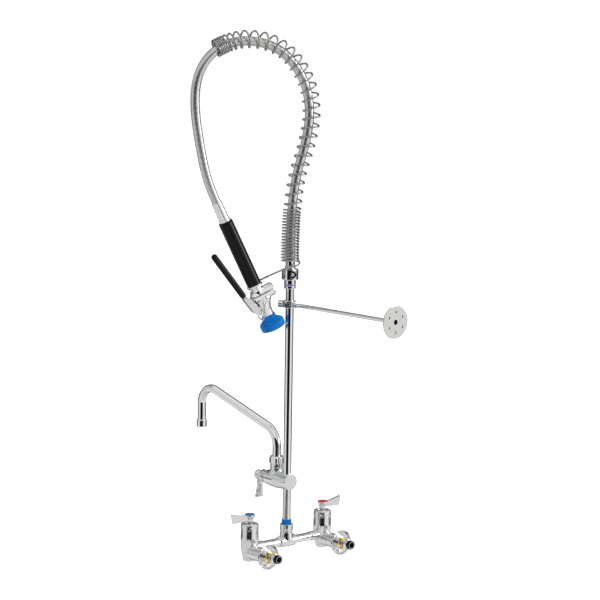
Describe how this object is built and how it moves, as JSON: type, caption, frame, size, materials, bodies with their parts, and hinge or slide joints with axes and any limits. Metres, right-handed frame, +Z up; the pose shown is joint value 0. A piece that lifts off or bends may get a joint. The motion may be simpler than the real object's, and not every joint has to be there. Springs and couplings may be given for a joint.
{
  "type": "pre-rinse faucet",
  "caption": "Backsplash-mounted kitchen pre-rinse faucet: twin lever valves on a bridge, riser, swing spout, spring-guarded hose arch and squeeze-lever spray valve on a wall bracket.",
  "frame": {"origin": "on the wall plane, midway between the two inlet axes", "axes": "+Z up along the riser, +Y into the wall, +X towards the cold inlet"},
  "size_m": [0.354, 0.6097, 1.1031],
  "materials": {
    "chrome_cast": "polished chrome plate over cast brass",
    "chrome_tube": "polished chrome plate",
    "spring_wire": "bright drawn stainless wire",
    "steel": "satin stainless",
    "hose_armour": "fine wound stainless armour",
    "brass": "machined brass",
    "blue_plastic": "satin moulded blue",
    "red_plastic": "satin moulded red",
    "violet_fibre": "pressed fibre",
    "black_rubber": "semi-gloss black rubber",
    "black_plastic": "black vinyl"
  },
  "bodies": {
    "base": {"center_tee": "chrome_cast", "bridge_tubes": "chrome_tube", "bridge_nuts": "chrome_cast", "bonnet_nuts": "chrome_cast", "cold_valve_body": "chrome_cast", "hot_valve_body": "chrome_cast", "valve_cartridges": "brass", "escutcheons": "chrome_tube", "inlet_coupling_rings": "chrome_tube", "inlet_lock_nuts": "brass", "inlet_nipples": "chrome_tube", "inlet_washers": "black_rubber", "riser_seal_sleeve": "blue_plastic", "riser_nipple": "steel", "riser_tube": "chrome_tube", "addon_body": "chrome_cast", "addon_bonnet": "chrome_cast", "spout_nut": "chrome_tube", "bracket_clamp": "chrome_tube", "bracket_thumb_screw": "chrome_tube", "bracket_jam_nut": "steel", "bracket_rod": "steel", "wall_disc": "steel", "union_ring": "chrome_tube", "union_washer": "violet_fibre", "union_nut": "chrome_tube"},
    "cold_lever": {"cold_stem": "steel", "cold_handle": "chrome_cast", "cold_index_ring": "blue_plastic", "cold_handle_screw": "steel"},
    "hot_lever": {"hot_stem": "steel", "hot_handle": "chrome_cast", "hot_index_ring": "red_plastic", "hot_handle_screw": "steel"},
    "addon_lever": {"addon_stem": "steel", "addon_handle": "chrome_cast", "addon_index_ring": "blue_plastic", "addon_handle_screw": "steel"},
    "spout": {"spout_tube": "chrome_tube", "spout_outlet": "chrome_tube"},
    "arch": {"hub_body": "chrome_tube", "hub_set_screw": "steel", "hub_screw_seal": "black_rubber", "hose_lower_ferrule": "chrome_tube", "spring": "spring_wire", "spring_hook": "spring_wire", "hose": "hose_armour", "hose_ferrule": "chrome_tube"},
    "spray": {"grip": "black_rubber", "grip_collar": "chrome_tube", "spray_body": "chrome_cast", "spray_bonnet": "chrome_cast", "plunger_spring": "steel", "lever_pin": "steel", "spray_face": "steel", "bumper": "blue_plastic"},
    "squeeze_lever": {"spray_lever": "steel", "lever_sleeve": "black_plastic"},
    "plunger": {"spray_plunger": "steel"},
    "bail": {"bail": "steel"}
  },
  "joints": [
    {"name": "cold_valve_turn", "type": "hinge", "parent": "base", "child": "cold_lever", "pos_m": [0.1016, -0.062, 0.07], "axis": [0, 0, 1], "range_deg": [-90, 0]},
    {"name": "hot_valve_turn", "type": "hinge", "parent": "base", "child": "hot_lever", "pos_m": [-0.1016, -0.062, 0.07], "axis": [0, 0, 1], "range_deg": [0, 90]},
    {"name": "addon_valve_turn", "type": "hinge", "parent": "base", "child": "addon_lever", "pos_m": [0, -0.145, 0.135], "axis": [0, -1, 0], "range_deg": [0, 90]},
    {"name": "spout_swivel", "type": "hinge", "parent": "base", "child": "spout", "pos_m": [0, -0.096, 0.17], "axis": [0, 0, 1], "range_deg": [-110, 110]},
    {"name": "arch_swivel", "type": "hinge", "parent": "base", "child": "arch", "pos_m": [0, -0.062, 0.56], "axis": [0, 0, 1], "range_deg": [-172, 37]},
    {"name": "spray_swivel", "type": "hinge", "parent": "arch", "child": "spray", "pos_m": [0.07196, -0.0921, 0.5535], "axis": [-0.403, 0.1686, -0.8996], "range_deg": [-45, 45]},
    {"name": "lever_squeeze", "type": "hinge", "parent": "spray", "child": "squeeze_lever", "pos_m": [0.0631, -0.08839, 0.4948], "axis": [-0.3859, -0.9225, 0], "range_deg": [0, 8.5], "stiffness_Nm_per_rad": 6, "springref_deg": -3.44},
    {"name": "plunger_travel", "type": "slide", "parent": "spray", "child": "plunger", "axis": [-0.8299, 0.3471, 0.4368], "range_m": [0, 0.0049]},
    {"name": "bail_swing", "type": "hinge", "parent": "spray", "child": "bail", "pos_m": [0.05667, -0.08571, 0.51708], "axis": [-0.3859, -0.9225, 0], "range_deg": [0, 80]}
  ],
  "couplings": [
    {"joint": "plunger_travel", "follows": "lever_squeeze", "m_per_rad": 0.032}
  ]
}
